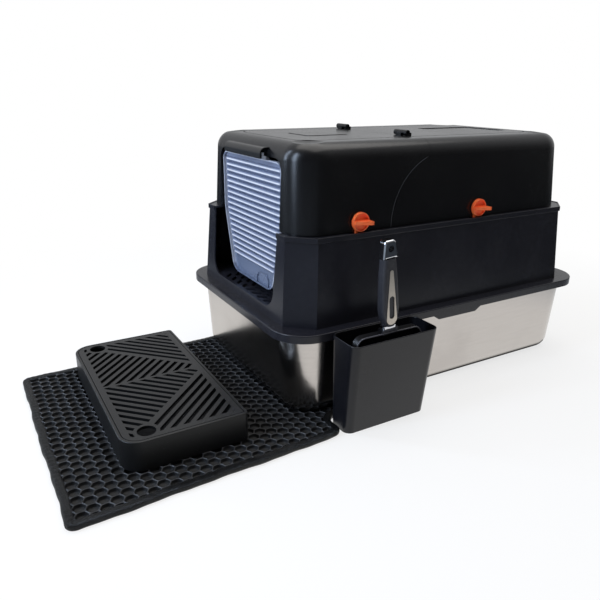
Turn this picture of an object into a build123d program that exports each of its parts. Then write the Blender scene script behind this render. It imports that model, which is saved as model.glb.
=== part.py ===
from build123d import *
import math
import os

os.makedirs("parts", exist_ok=True)

# Enclosed steel litter box: a brushed steel pan, a high plastic collar that clips over its rim,
# a two-part hood with a flip-up front, a swinging flap, four quarter-turn locks, a scoop in its
# holder, an entry step and a honeycomb mat. Millimetres and degrees. The origin is the centre of
# the pan's underside, +Z is up and the doorway faces -Y.

# Clearances and cuts
overrun = 6.0             # how far a cut runs past the faces that it opens
seat_gap = 0.3            # under a loose piece that stands in another
running_gap = 0.5         # between pieces that slide or turn past each other
bore_gap = 0.1            # radial play of a pin in its bore

# Steel pan
pan_width = 368.0
pan_length = 584.0
pan_depth = 138.0
pan_draft = 8.0           # how much each side leans in by at the base
pan_corner = 50.0
pan_base_round = 23.0
pan_sheet = 1.0
pan_rim = 6.0

# Collar: flange over the pan rim
flange_overhang_x = 12.0  # from the pan's sides out to the flange's edge
flange_overhang_y = 16.0
flange_corner = 53.0
flange_sheet = 3.0
flange_edge_round = 1.5
skirt_depth = 12.0
skirt_wall = 2.5
tab_length = 78.0         # finger tab in the middle of each long skirt
tab_depth = 7.0
tab_slope = 11.0
inner_lip_depth = 10.0    # lip that reaches into the pan
inner_lip_wall = 2.0

# Collar: raised walls and ledge
collar_height = 128.0     # from the top of the flange to the top of the ledge
collar_step_x = 6.0       # from the pan's sides in to the foot of the collar's wall
collar_step_y = 2.0
collar_lean_x = 10.0
collar_lean_y = 8.5
collar_chamfer_x = 33.5
collar_chamfer_y = 37.0
collar_wall = 2.5
ledge_overhang = 2.0
ledge_lip_depth = 7.0
ledge_sheet = 3.0
ledge_edge_round = 0.8
ledge_bead_width = 2.0    # raised bead along the ledge's outer edge
ledge_bead_height = 1.0
ledge_inner = 8.5         # how far the ledge runs in past the hood's outer face
locator_height = 4.0      # upstand that centres the hood on the ledge
locator_wall = 2.0

# Entry in the front wall
entry_width = 220.0
entry_flare = 4.0         # how much each side leans out by at the ledge
entry_corner = 25.0
sill_rise = 14.5          # from the top of the flange to the sill

# Entry grille
grille_sheet = 3.0
grille_depth = 82.0
grille_drop = 0.5         # from the sill down to the grille's top
grille_ledge = 8.0        # shelf along the collar's walls that carries the grille
grille_slot_width = 9.0
grille_slot_length = 14.0
grille_slot_slant = 6.0
grille_pitch_x = 21.0
grille_pitch_y = 17.0
grille_columns = 8
grille_mid_rib = 3.0      # least web between the two middle columns
grille_rows = 4
grille_margin = 15.0      # from the grille's front edge to the first row of slots

# Hood
hood_step_x = 10.0        # from the ledge's edge in to the hood's outer face
hood_step_y = 9.5
hood_rear_step = 16.5
hood_lean_x = 8.0
hood_lean_y = 4.5
hood_rear_lean = 8.5
hood_height = 123.5
hood_corner = 45.0
hood_top_round = 25.0
hood_foot_round = 0.8
hood_wall = 2.5
seam_gap = 0.6
seam_base_run = 158.0     # from the hood's front back to the seam's foot
seam_arc_drop = 25.5      # from the hood's top down to the arc's end
seam_arc_spare = 7.0      # how much the arc's radius is more than its rise
seam_kick = 4.5           # straight slant from the arc's end to the hinges
panel_inset_x = 44.0      # panel on the hood's top, bounded by a groove
panel_inset_y = 27.5
panel_corner = 40.0
panel_groove_width = 3.0
panel_groove_depth = 1.0
corner_dip_radius = 90.0  # shallow thumb dip at each corner of the top
corner_dip_depth = 3.4
corner_dip_inset_x = 34.0
corner_dip_inset_y = 32.0
recess_width = 100.0      # shallow recess on the rear top
recess_length = 125.0
recess_depth = 1.2
recess_corner = 8.0
recess_centre_x = 10.0
recess_rear_run = 106.5
emboss_width = 66.0       # faint raised rectangle on the front top
emboss_length = 74.0
emboss_corner = 6.0
emboss_height = 0.6
emboss_front_run = 121.5

# Hood hinges
hinge_barrel = 8.5
hinge_pin = 3.5
hinge_spacing = 164.0
hinge_front_knuckle = 12.0
hinge_rear_knuckle = 8.5
hinge_knuckle_gap = 0.5
hinge_web = 7.0
hinge_pin_inset = 4.0

# Doorway, flap and brow
doorway_drop = 23.5       # from the hood's top down to the doorway's top
doorway_corner = 18.0
jamb_wall = 2.5
jamb_depth = 7.0
flap_width = 202.0
flap_side_gap = 5.0       # between the flap and the doorway's sides
flap_sill_gap = 11.0      # between the flap's foot and the sill
flap_straight = 93.5      # straight part of the flap's sides, down from the top
flap_taper = 30.5         # how much each side comes in by at the foot
flap_top_corner = 15.0
flap_side_round = 80.0
flap_base_corner = 24.0
flap_sheet = 1.8
flap_dish = 6.0
flap_inset = 6.0          # from the hood's front face back to the flap's rim
flap_top_drop = 5.5       # from the doorway's top to the flap's top edge
rib_pitch = 9.0
rib_first = 12.3          # from the flap's top edge to the first rib
rib_radius = 2.1
rib_foot = 31.0           # plain band under the ribs, at least
rib_margin = 5.0
pull_width = 40.0         # rounded pull on the plain band at the flap's foot
pull_height = 20.0
pull_corner = 12.0
pull_wire = 1.6
pull_offset = 33.0
axle = 4.0
axle_rise = 6.5           # from the flap's top edge up to the axle
axle_depth_share = 0.75   # of the flap's dish, from its rim back to the axle
axle_length = 124.0
lug_inset = 17.0          # from the axle's ends in to the middle of the lugs
lug_length = 14.0
lug_depth = 5.4
bracket_length = 6.0
bracket_depth = 8.0
bracket_height = 6.4
brow_side = 1.0           # how far the hooked brow runs past each end of the axle
brow_reach = 7.5          # how far it stands out from the hood's front face
brow_height = 15.5
brow_slope = 8.5
brow_wall = 2.2
brow_drop = 3.0           # from the doorway's top down to the brow's lip
brow_window_rise = 8.0    # opening in the hood behind the brow

# Quarter-turn locks
knob = 28.0
knob_disc = 5.0
knob_height = 15.0        # axis above the ledge
lock_front_run = 100.0    # from the hood's front back to the front locks
lock_rear_run = 210.5     # from the hood's rear forward to the rear locks
knob_recess = 2.2
knob_rim = 2.4
knob_edge_round = 1.0
grip_fin_sheet = 5.0      # wedge-shaped fin across the knob's face
grip_fin_foot = 2.5
grip_fin_reach = 12.5
grip_fin_run = 12.5
grip_fin_land = 4.0
lock_tab_width = 4.0
lock_tab_offset = 6.5
lock_tab_sheet = 3.0
lock_tab_drop = 1.2       # how far the tab reaches into its notch
lock_tab_start_share = 0.25  # of the knob's diameter, from its axis down to the tab's start
lock_boss = 31.0
lock_shaft = 9.0
cam_disc = 18.0
cam_sheet = 4.0
cam_nose_width = 9.0
cam_nose_drop = 5.0       # how far the nose reaches below the ledge's top

# Scoop holder
holder_width = 58.5
holder_length = 149.0
holder_height = 140.0
holder_taper_x = 14.0
holder_taper_y = 6.0
holder_corner = 12.0
holder_wall = 2.0
holder_edge_round = 0.8
holder_front_run = 124.5  # from the pan's front back to the holder's middle

# Scoop
scoop_lean = 4.5          # of the handle, towards the box's front
scoop_shift_y = -2.0      # from the holder's middle to the neck of the scoop
scoop_rise = 3.0          # from the holder's rim up to the top of the scoop's head
scoop_side_room = 15.5    # between the head's sides and the holder's walls at the rim
scoop_head_depth = 12.0
scoop_head_wall = 2.6
scoop_rim_round = 1.1
scoop_shoulder = 14.0
scoop_foot_corner = 16.0
scoop_slot_width = 6.0
scoop_slot_top = 31.0     # plain band over the slots
scoop_slot_foot = 23.0    # plain band under the slots
scoop_slot_pitch = 14.0
scoop_slot_count = 6
scoop_neck_width = 26.0
scoop_neck_length = 5.7
scoop_neck_root = 2.4     # how far the neck runs into the head's wall
ferrule_length = 4.0
ferrule_width = 22.0
ferrule_thickness = 11.0
grip_length = 97.5
grip_width = 28.0
grip_end_width = 19.0
grip_foot_width = 14.0
grip_bulge = 25.0         # from the grip's foot up to its widest place
grip_thickness = 17.0
grip_round = 5.0
cap_length = 25.5
cap_width = 23.5
cap_end_width = 17.5
cap_thickness = 15.0
cap_top_round = 5.5
cap_edge_round = 3.0
hang_hole = 9.0
hang_hole_drop = 11.5
inlay_length = 79.0
inlay_width = 17.5
inlay_tip_width = 5.5
inlay_sheet = 1.5
inlay_proud = 0.4
inlay_rise = 3.0
inlay_slot_length = 33.0
inlay_slot_width = 8.5
tang = 6.0
tang_seat = 6.0           # how far the tang runs into the head and the end cap

# Entry step
step_width = 328.0
step_length = 168.0
step_height = 42.0
step_wall = 3.0
step_floor = 2.5
step_outer_corner = 27.0
step_inner_corner = 6.0
step_edge_round = 1.4
step_centre_x = 30.0
step_stand_off = 76.0     # between the pan's front and the step
step_rim_wall = 4.0
step_ledge = 5.0
step_ledge_sheet = 4.0
step_grille_sheet = 4.0
step_grille_gap = 1.0
step_border = 9.0
step_rib = 9.0
step_mid_rib = 5.0
step_slot = 6.2
step_slot_pitch = 12.4
step_apex_rise = 18.0     # how far past the slots' border the two long ribs meet
step_side_zone = 105.0    # how far the side slots run from the border towards the finger holes
finger_hole = 24.5
finger_hole_inset_x = 22.5
finger_hole_inset_y = 35.5
finger_hole_land = 4.8    # plain ring round each finger hole

# Mat
mat_width = 402.0
mat_length = 362.0
mat_turn = 2.5
mat_shift_x = 16.0        # from the step's middle to the mat's middle
mat_holder_gap = 7.5      # between the holder and the mat's end beside it
mat_corner = 14.0
mat_pull = 14.0           # how far the front corner beside the step is drawn out
mat_base_sheet = 3.0
mat_thickness = 8.0
mat_pan_gap = 0.8         # between the mat's cut edge and the pan's rounded foot
binding_width = 12.0
binding_proud = 0.8
mat_cell = 23.0           # from one cell to the next
mat_cell_wall = 5.0

# Widths and lengths that follow
flange_width = pan_width + 2 * flange_overhang_x
flange_length = pan_length + 2 * flange_overhang_y
collar_base_width = pan_width - 2 * collar_step_x
collar_base_length = pan_length - 2 * collar_step_y
collar_top_width = collar_base_width - 2 * collar_lean_x
collar_top_length = collar_base_length - 2 * collar_lean_y
ledge_width = collar_top_width + 2 * ledge_overhang
ledge_length = collar_top_length + 2 * ledge_overhang
entry_top_width = entry_width + 2 * entry_flare
hood_base_width = ledge_width - 2 * hood_step_x
hood_top_width = hood_base_width - 2 * hood_lean_x
panel_width = hood_top_width - 2 * panel_inset_x
doorway_width = flap_width + 2 * flap_side_gap
flap_base_width = flap_width - 2 * flap_taper
lug_spacing = axle_length - 2 * lug_inset
brow_width = axle_length + 2 * brow_side

# Levels and places that follow
flange_top = pan_depth + flange_sheet
skirt_bottom = flange_top - skirt_depth
ledge_top = flange_top + collar_height
sill_z = flange_top + sill_rise
grille_z = sill_z - grille_drop - grille_sheet
hood_top = ledge_top + hood_height
doorway_top = hood_top - doorway_drop
hinge_z = hood_top + hinge_barrel / 2 + running_gap
hood_front_y = hood_step_y - ledge_length / 2
hood_rear_y = ledge_length / 2 - hood_rear_step
hood_top_front_y = hood_front_y + hood_lean_y
hood_top_rear_y = hood_rear_y - hood_rear_lean
hood_top_length = hood_top_rear_y - hood_top_front_y
hood_top_middle_y = (hood_top_front_y + hood_top_rear_y) / 2
panel_length = hood_top_length - 2 * panel_inset_y
seam_arc_rise = hood_height - seam_arc_drop
seam_radius = seam_arc_rise + seam_arc_spare
seam_arc_run = seam_radius - math.sqrt(seam_radius**2 - seam_arc_rise**2)
seam_base_y = hood_front_y + seam_base_run
seam_top_y = seam_base_y + seam_arc_run + seam_kick
recess_centre_y = hood_top_rear_y - recess_rear_run
emboss_centre_y = hood_top_front_y + emboss_front_run
flap_face_y = hood_front_y + flap_inset
flap_top_z = doorway_top - flap_top_drop
flap_base_z = sill_z + flap_sill_gap
flap_height = flap_top_z - flap_base_z
rib_count = 1 + int((flap_height - rib_first - rib_foot) / rib_pitch)
axle_z = flap_top_z + axle_rise
axle_y = flap_face_y + flap_dish * axle_depth_share
knob_z = ledge_top + knob_height
knob_front_y = hood_front_y + lock_front_run
knob_rear_y = hood_rear_y - lock_rear_run
knob_face_x = hood_base_width / 2 + running_gap
cam_draft = hood_lean_x * (knob_height + cam_disc / 2) / hood_height
cam_face_x = hood_base_width / 2 - cam_draft - hood_wall - running_gap
# The notches take the swing of the cam's nose at the top of the upstand
cam_reach = math.hypot(knob_height + cam_nose_drop, cam_nose_width / 2)
lock_notch = 2 * (math.sqrt(cam_reach**2 - (knob_height - locator_height) ** 2) + 2 * running_gap)
holder_face_x = flange_width / 2 + running_gap
holder_centre_y = holder_front_run - pan_length / 2
scoop_width = holder_length - 2 * (holder_wall + scoop_side_room)
scoop_x = holder_face_x + holder_width - holder_taper_x - holder_wall - running_gap - scoop_head_depth / 2
scoop_centre_y = holder_centre_y + scoop_shift_y
scoop_top = holder_height + scoop_rise
lean = math.radians(scoop_lean)
scoop_head_length = scoop_top - holder_wall - seat_gap
scoop_slot_length = scoop_head_length - scoop_slot_top - scoop_slot_foot
scoop_slot_drop = scoop_slot_top + scoop_slot_length / 2
step_top = mat_thickness + step_height
step_centre_y = -(pan_length / 2 + step_stand_off + step_length / 2)
mat_centre_x = step_centre_x + mat_shift_x
mat_centre_y = holder_centre_y - holder_length / 2 - mat_holder_gap - mat_length / 2


def octagon(width, length, chamfer_x, chamfer_y):
    """Corner points of a rectangle with its four corners cut off, anticlockwise."""
    x, y = width / 2, length / 2
    right = [(x, y - chamfer_y), (x - chamfer_x, y)]
    left = [(-px, py) for px, py in reversed(right)]
    return right + left + [(-px, -py) for px, py in right + left]


def collar_share(z):
    """Share of the collar wall's height at a level."""
    return (z - pan_depth) / (ledge_top - pan_depth)


def collar_outline(share, inset):
    """Octagon of the collar's wall at a share of its height, moved in by inset."""
    width = collar_base_width + share * (collar_top_width - collar_base_width)
    length = collar_base_length + share * (collar_top_length - collar_base_length)
    narrowing = width / collar_base_width
    chamfer_x = collar_chamfer_x * narrowing - inset / 2
    chamfer_y = collar_chamfer_y * narrowing - inset / 2
    return octagon(width - 2 * inset, length - 2 * inset, chamfer_x, chamfer_y)


def ledge_outline(inset):
    """Octagon of the ledge on top of the collar's wall, moved in by inset."""
    narrowing = collar_top_width / collar_base_width
    chamfer_x = collar_chamfer_x * narrowing - inset / 2
    chamfer_y = collar_chamfer_y * narrowing - inset / 2
    return octagon(ledge_width - 2 * inset, ledge_length - 2 * inset, chamfer_x, chamfer_y)


def rounded(width, length, corner, inset, mode=Mode.ADD):
    """Rounded rectangle moved in by inset all round."""
    RectangleRounded(width - 2 * inset, length - 2 * inset, corner - inset, mode=mode)


def hood_outline(share, inset, mode=Mode.ADD):
    """Rounded rectangle of the hood at a share of its height, moved in by inset."""
    width = hood_base_width + share * (hood_top_width - hood_base_width)
    front = hood_front_y + share * hood_lean_y
    rear = hood_rear_y - share * hood_rear_lean
    with Locations((0, (front + rear) / 2)):
        rounded(width, rear - front, hood_corner, inset, mode)


def front_plane(y):
    """Upright plane facing -Y, with sketch x along X and sketch y along Z."""
    return Plane(origin=(0, y, 0), x_dir=(1, 0, 0), z_dir=(0, -1, 0))


def side_plane(x):
    """Upright plane facing +X, with sketch x along Y and sketch y along Z."""
    return Plane(origin=(x, 0, 0), x_dir=(0, 1, 0), z_dir=(1, 0, 0))


def finish(piece, name):
    """Name a finished piece and write it."""
    piece.part.label = name
    export_step(piece.part, "parts/" + name + ".step")


# Steel pan, deep drawn, with a flat rim
with BuildPart() as pan_hollow:
    with BuildSketch(Plane.XY.offset(pan_sheet)):
        rounded(pan_width, pan_length, pan_corner, pan_draft + pan_sheet)
    with BuildSketch(Plane.XY.offset(pan_depth + pan_sheet)):
        rounded(pan_width, pan_length, pan_corner, pan_sheet)
    loft()
    fillet(pan_hollow.faces().sort_by(Axis.Z)[0].edges(), radius=pan_base_round - pan_sheet)

with BuildPart() as steel_pan:
    with BuildSketch():
        rounded(pan_width, pan_length, pan_corner, pan_draft)
    with BuildSketch(Plane.XY.offset(pan_depth)):
        rounded(pan_width, pan_length, pan_corner, 0)
    loft()
    fillet(steel_pan.faces().sort_by(Axis.Z)[0].edges(), radius=pan_base_round)
    with BuildSketch(Plane.XY.offset(pan_depth - pan_sheet)):
        rounded(pan_width, pan_length, pan_corner, -pan_rim)
    extrude(amount=pan_sheet)
    add(pan_hollow.part, mode=Mode.SUBTRACT)
finish(steel_pan, "steel_pan")


# Collar: flange, skirts, leaning walls, ledge and entry
def skirt_tab():
    """Outline of the finger tab under a long skirt."""
    half, foot = tab_length / 2, skirt_bottom - tab_depth
    Polygon(
        (-half, foot),
        (half, foot),
        (half + tab_slope, skirt_bottom),
        (half + tab_slope, pan_depth),
        (-half - tab_slope, pan_depth),
        (-half - tab_slope, skirt_bottom),
        align=None,
    )


lip_inset = pan_sheet + pan_draft * inner_lip_depth / pan_depth + running_gap
grille_share = collar_share(grille_z + grille_sheet)
grille_front = collar_base_length / 2
grille_middle_y = grille_depth / 2 - grille_front

with BuildPart() as ledge:
    with BuildSketch(Plane.XY.offset(ledge_top - ledge_lip_depth)):
        Polygon(*ledge_outline(0), align=None)
    extrude(amount=ledge_lip_depth + ledge_bead_height)
    fillet(ledge.faces().filter_by(Axis.Z).edges(), radius=ledge_edge_round)
    with BuildSketch(Plane.XY.offset(ledge_top)):
        Polygon(*ledge_outline(ledge_bead_width), align=None)
    extrude(amount=ledge_bead_height, mode=Mode.SUBTRACT)

with BuildPart() as collar:
    with BuildSketch(Plane.XY.offset(skirt_bottom)):
        rounded(flange_width, flange_length, flange_corner, 0)
    extrude(amount=skirt_depth)
    fillet(collar.faces().sort_by(Axis.Z)[-1].edges(), radius=flange_edge_round)
    with BuildSketch(Plane.XY.offset(skirt_bottom)):
        rounded(flange_width, flange_length, flange_corner, skirt_wall)
    extrude(amount=skirt_depth - flange_sheet, mode=Mode.SUBTRACT)
    for side in (1, -1):
        with BuildSketch(side_plane(side * flange_width / 2)):
            skirt_tab()
        extrude(amount=-side * skirt_wall)
    with BuildSketch(Plane.XY.offset(pan_depth - inner_lip_depth)):
        rounded(pan_width, pan_length, pan_corner, lip_inset)
        rounded(pan_width, pan_length, pan_corner, lip_inset + inner_lip_wall, Mode.SUBTRACT)
    extrude(amount=inner_lip_depth)
    for level in (pan_depth, ledge_top):
        with BuildSketch(Plane.XY.offset(level)):
            Polygon(*collar_outline(collar_share(level), 0), align=None)
    loft(ruled=True)
    add(ledge.part)
    # The room inside, up to the underside of the ledge
    for level in (pan_depth - inner_lip_depth, ledge_top - ledge_sheet):
        with BuildSketch(Plane.XY.offset(level)):
            Polygon(*collar_outline(collar_share(level), collar_wall), align=None)
    loft(ruled=True, mode=Mode.SUBTRACT)
    # The opening in the ledge, and the upstand round it that centres the hood
    with BuildSketch(Plane.XY.offset(ledge_top - ledge_sheet)):
        hood_outline(0, ledge_inner)
    extrude(amount=ledge_sheet + overrun, mode=Mode.SUBTRACT)
    with BuildSketch(Plane.XY.offset(ledge_top - ledge_sheet)):
        hood_outline(0, hood_wall + running_gap)
        hood_outline(0, hood_wall + running_gap + locator_wall, Mode.SUBTRACT)
    extrude(amount=ledge_sheet + locator_height)
    # The shelf that carries the entry grille
    with BuildSketch(Plane.XY.offset(grille_z - grille_sheet)):
        Polygon(*collar_outline(grille_share, collar_wall / 2), align=None)
        Polygon(*collar_outline(grille_share, grille_ledge), align=None, mode=Mode.SUBTRACT)
        with Locations((0, grille_middle_y)):
            Rectangle(collar_base_width, grille_depth, mode=Mode.INTERSECT)
    extrude(amount=grille_sheet)
    # The entry
    with BuildSketch(front_plane(-collar_base_length / 2 - overrun)) as entry:
        Polygon(
            (-entry_width / 2, sill_z),
            (entry_width / 2, sill_z),
            (entry_top_width / 2, ledge_top + overrun),
            (-entry_top_width / 2, ledge_top + overrun),
            align=None,
        )
        fillet(entry.vertices().group_by(Axis.Y)[0], radius=entry_corner)
    extrude(
        amount=-(collar_base_length / 2 + hood_front_y + ledge_inner + 2 * overrun),
        mode=Mode.SUBTRACT,
    )
    # The notches in the ledge for the lock noses, inside the hood, and the lock tabs, outside it
    nose_notch = hood_base_width / 2 - hood_wall
    tab_notch = knob_face_x + lock_tab_sheet + running_gap
    for lock_y in (knob_front_y, knob_rear_y):
        with BuildSketch(Plane.XY.offset(ledge_top - ledge_lip_depth)):
            with Locations((0, lock_y)):
                Rectangle(2 * nose_notch, lock_notch)
                Rectangle(hood_base_width - 2 * ledge_inner, lock_notch, mode=Mode.SUBTRACT)
        extrude(amount=ledge_lip_depth + locator_height, mode=Mode.SUBTRACT)
        with BuildSketch(Plane.XY.offset(ledge_top - ledge_sheet)):
            with Locations((0, lock_y)):
                Rectangle(2 * tab_notch, lock_notch)
                Rectangle(hood_base_width, lock_notch, mode=Mode.SUBTRACT)
        extrude(amount=ledge_sheet, mode=Mode.SUBTRACT)
finish(collar, "collar")


# Entry grille: a loose plate behind the sill, with slots that slant towards the middle
with BuildPart() as entry_grille:
    with BuildSketch(Plane.XY.offset(grille_z)):
        Polygon(*collar_outline(grille_share, collar_wall + running_gap), align=None)
        with Locations((0, grille_middle_y)):
            Rectangle(collar_base_width, grille_depth, mode=Mode.INTERSECT)
    extrude(amount=grille_sheet)
    rows_middle = grille_margin + (grille_rows - 1) * grille_pitch_y / 2 - grille_front
    for side in (1, -1):
        half_columns = grille_columns // 2
        with BuildSketch(Plane.XY.offset(grille_z)):
            half_width = half_columns * grille_pitch_x + grille_mid_rib
            with Locations((side * half_width / 2, rows_middle)):
                with GridLocations(grille_pitch_x, grille_pitch_y, half_columns, grille_rows):
                    Polygon(
                        (-grille_slot_width / 2 - side * grille_slot_slant, -grille_slot_length / 2),
                        (grille_slot_width / 2 - side * grille_slot_slant, -grille_slot_length / 2),
                        (grille_slot_width / 2 + side * grille_slot_slant, grille_slot_length / 2),
                        (-grille_slot_width / 2 + side * grille_slot_slant, grille_slot_length / 2),
                        align=None,
                    )
        extrude(amount=grille_sheet, mode=Mode.SUBTRACT)
finish(entry_grille, "entry_grille")


# Hood: one rounded shell that the seam parts into a front and a rear half
def seam_region(side):
    """Side view of the half in front of (-1) or behind (1) the seam, with half the gap taken off."""
    shift = side * seam_gap / 2
    foot = (seam_base_y + shift, ledge_top)
    arc_end = (foot[0] + seam_arc_run, ledge_top + seam_arc_rise)
    half_turn = math.asin(seam_arc_rise / seam_radius) / 2
    arc_middle = (
        foot[0] + seam_radius * (1 - math.cos(half_turn)),
        ledge_top + seam_radius * math.sin(half_turn),
    )
    far_y = side * ledge_length
    with BuildLine() as outline:
        Line((foot[0], ledge_top - overrun), foot)
        ThreePointArc(foot, arc_middle, arc_end)
        Polyline(
            arc_end,
            (seam_top_y + shift, arc_end[1] + seam_kick),
            (seam_top_y + shift, hood_top + overrun),
            (far_y, hood_top + overrun),
            (far_y, ledge_top - overrun),
            (foot[0], ledge_top - overrun),
        )
    make_face(outline.edges())


def corner_dips(radius):
    """Balls over the four corners of the hood's top, which sink the thumb dips."""
    spread_x = hood_top_width - 2 * corner_dip_inset_x
    spread_y = hood_top_length - 2 * corner_dip_inset_y
    with Locations((0, hood_top_middle_y, hood_top + corner_dip_radius - corner_dip_depth)):
        with GridLocations(spread_x, spread_y, 2, 2):
            Sphere(radius, mode=Mode.SUBTRACT)


with BuildPart() as hood_hollow:
    with BuildSketch(Plane.XY.offset(ledge_top)):
        hood_outline(0, hood_wall)
    with BuildSketch(Plane.XY.offset(hood_top - hood_wall)):
        hood_outline(1, hood_wall)
    loft()
    fillet(hood_hollow.faces().sort_by(Axis.Z)[-1].edges(), radius=hood_top_round - hood_wall)
    corner_dips(corner_dip_radius + hood_wall)

with BuildPart() as hood_body:
    with BuildSketch(Plane.XY.offset(ledge_top)):
        hood_outline(0, 0)
    with BuildSketch(Plane.XY.offset(hood_top)):
        hood_outline(1, 0)
    loft()
    fillet(hood_body.faces().sort_by(Axis.Z)[-1].edges(), radius=hood_top_round)
    fillet(hood_body.faces().sort_by(Axis.Z)[0].edges(), radius=hood_foot_round)
    corner_dips(corner_dip_radius)
    # The groove round the top panel
    with BuildSketch(Plane.XY.offset(hood_top)):
        with Locations((0, hood_top_middle_y)):
            rounded(panel_width, panel_length, panel_corner, 0)
            rounded(panel_width, panel_length, panel_corner, panel_groove_width, Mode.SUBTRACT)
    extrude(amount=-panel_groove_depth, mode=Mode.SUBTRACT)


def lock_bosses(lock_y):
    """Round bosses in both side walls, with the bores that the locks turn in."""
    boss_x = cam_face_x + running_gap
    for side in (1, -1):
        with BuildSketch(side_plane(side * boss_x)) as boss:
            with Locations((lock_y, knob_z)):
                Circle(lock_boss / 2)
                Rectangle(lock_boss, 2 * knob_height, mode=Mode.INTERSECT)
        extrude(boss.sketch, amount=side * (hood_base_width / 2 - boss_x))
        with BuildSketch(side_plane(0)) as bore:
            with Locations((lock_y, knob_z)):
                Circle(lock_shaft / 2 + bore_gap)
        extrude(bore.sketch, amount=side * (hood_base_width / 2 + overrun), mode=Mode.SUBTRACT)


def hinge_knuckle(start_x, length, side):
    """Barrel round the hinge pin with a web down to the hood's top, in front (-1) or behind (1)."""
    with BuildSketch(side_plane(start_x)) as section:
        with Locations((seam_top_y, hinge_z)):
            Circle(hinge_barrel / 2)
        with Locations((seam_top_y + side * hinge_web / 2, (hood_top - hood_wall + hinge_z) / 2)):
            Rectangle(hinge_web, hinge_z - hood_top + hood_wall)
        with Locations((seam_top_y, hinge_z)):
            Circle(hinge_pin / 2 + bore_gap, mode=Mode.SUBTRACT)
    extrude(section.sketch, amount=length)


hinge_middles = (-hinge_spacing / 2, hinge_spacing / 2)
rear_knuckle_step = hinge_front_knuckle / 2 + hinge_knuckle_gap

with BuildPart() as hood_rear:
    add(hood_body.part)
    add(hood_hollow.part, mode=Mode.SUBTRACT)
    with BuildSketch(side_plane(0)):
        seam_region(1)
    extrude(amount=hood_base_width, both=True, mode=Mode.INTERSECT)
    lock_bosses(knob_rear_y)
    with BuildSketch(Plane.XY.offset(hood_top)):
        with Locations((recess_centre_x, recess_centre_y)):
            RectangleRounded(recess_width, recess_length, recess_corner)
    extrude(amount=-recess_depth, mode=Mode.SUBTRACT)
    for middle in hinge_middles:
        hinge_knuckle(middle + rear_knuckle_step, hinge_rear_knuckle, 1)
        hinge_knuckle(middle - rear_knuckle_step - hinge_rear_knuckle, hinge_rear_knuckle, 1)
finish(hood_rear, "hood_rear")


def doorway(inset):
    """Doorway in the hood's front, from below the ledge up, moved out by a negative inset."""
    top = doorway_top - inset
    half = doorway_width / 2 - inset
    corner = doorway_corner - inset
    with BuildLine() as outline:
        Polyline(
            (-half, top - corner),
            (-half, ledge_top),
            (half, ledge_top),
            (half, top - corner),
        )
        RadiusArc((half, top - corner), (half - corner, top), -corner)
        Line((half - corner, top), (corner - half, top))
        RadiusArc((corner - half, top), (-half, top - corner), -corner)
    make_face(outline.edges())


def brow_section():
    """Section of the hooked brow: a sheet that turns down through a round into a lip."""
    back = hood_front_y + hood_top_round / 2
    front = hood_front_y - brow_reach
    foot = doorway_top - brow_drop
    top = foot + brow_height
    bend = top - brow_slope
    with BuildLine() as outline:
        Line((back, top), (front + brow_slope, top))
        RadiusArc((front + brow_slope, top), (front, bend), radius=-brow_slope)
        Polyline((front, bend), (front, foot), (front + brow_wall, foot), (front + brow_wall, bend))
        RadiusArc(
            (front + brow_wall, bend),
            (front + brow_slope, top - brow_wall),
            radius=brow_slope - brow_wall,
        )
        Polyline((front + brow_slope, top - brow_wall), (back, top - brow_wall), (back, top))
    make_face(outline.edges())


window_width = lug_spacing + lug_length + 2 * running_gap
bracket_middle = axle_length / 2 - bracket_length

with BuildPart() as hood_front:
    add(hood_body.part)
    add(hood_hollow.part, mode=Mode.SUBTRACT)
    # The jamb runs in from the front wall round the doorway
    with BuildSketch(front_plane(hood_front_y)):
        doorway(-jamb_wall)
    extrude(amount=-(flap_inset + jamb_depth))
    add(hood_body.part, mode=Mode.INTERSECT)
    with BuildSketch(side_plane(0)):
        seam_region(-1)
    extrude(amount=hood_base_width, both=True, mode=Mode.INTERSECT)
    lock_bosses(knob_front_y)
    with BuildSketch(front_plane(hood_front_y - overrun)):
        doorway(0)
    extrude(amount=-(2 * overrun + flap_inset + jamb_depth), mode=Mode.SUBTRACT)
    with BuildSketch(front_plane(hood_front_y - overrun)):
        with Locations((0, doorway_top)):
            Rectangle(window_width, 2 * brow_window_rise)
    extrude(amount=-(2 * overrun + flap_inset + jamb_depth), mode=Mode.SUBTRACT)
    with BuildSketch(side_plane(-brow_width / 2)):
        brow_section()
    extrude(amount=brow_width)
    for side in (1, -1):
        with BuildSketch(side_plane(side * bracket_middle)):
            with Locations((axle_y, axle_z)):
                Rectangle(bracket_depth, bracket_height)
        extrude(amount=side * bracket_length)
    with BuildSketch(side_plane(-axle_length / 2)):
        with Locations((axle_y, axle_z)):
            Circle(axle / 2 + bore_gap)
    extrude(amount=axle_length, mode=Mode.SUBTRACT)
    with BuildSketch(Plane.XY.offset(hood_top)):
        with Locations((0, emboss_centre_y)):
            RectangleRounded(emboss_width, emboss_length, emboss_corner)
    extrude(amount=emboss_height)
    for middle in hinge_middles:
        hinge_knuckle(middle - hinge_front_knuckle / 2, hinge_front_knuckle, -1)
finish(hood_front, "hood_front")


# Hinge pins of the hood, set back from the ends of their barrels
hinge_length = hinge_front_knuckle + 2 * (hinge_rear_knuckle + hinge_knuckle_gap)
with BuildPart() as hood_hinge_pins:
    for middle in hinge_middles:
        with BuildSketch(side_plane(middle - hinge_length / 2 + hinge_pin_inset)):
            with Locations((seam_top_y, hinge_z)):
                Circle(hinge_pin / 2)
        extrude(amount=hinge_length - 2 * hinge_pin_inset)
finish(hood_hinge_pins, "hood_hinge_pins")


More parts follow.
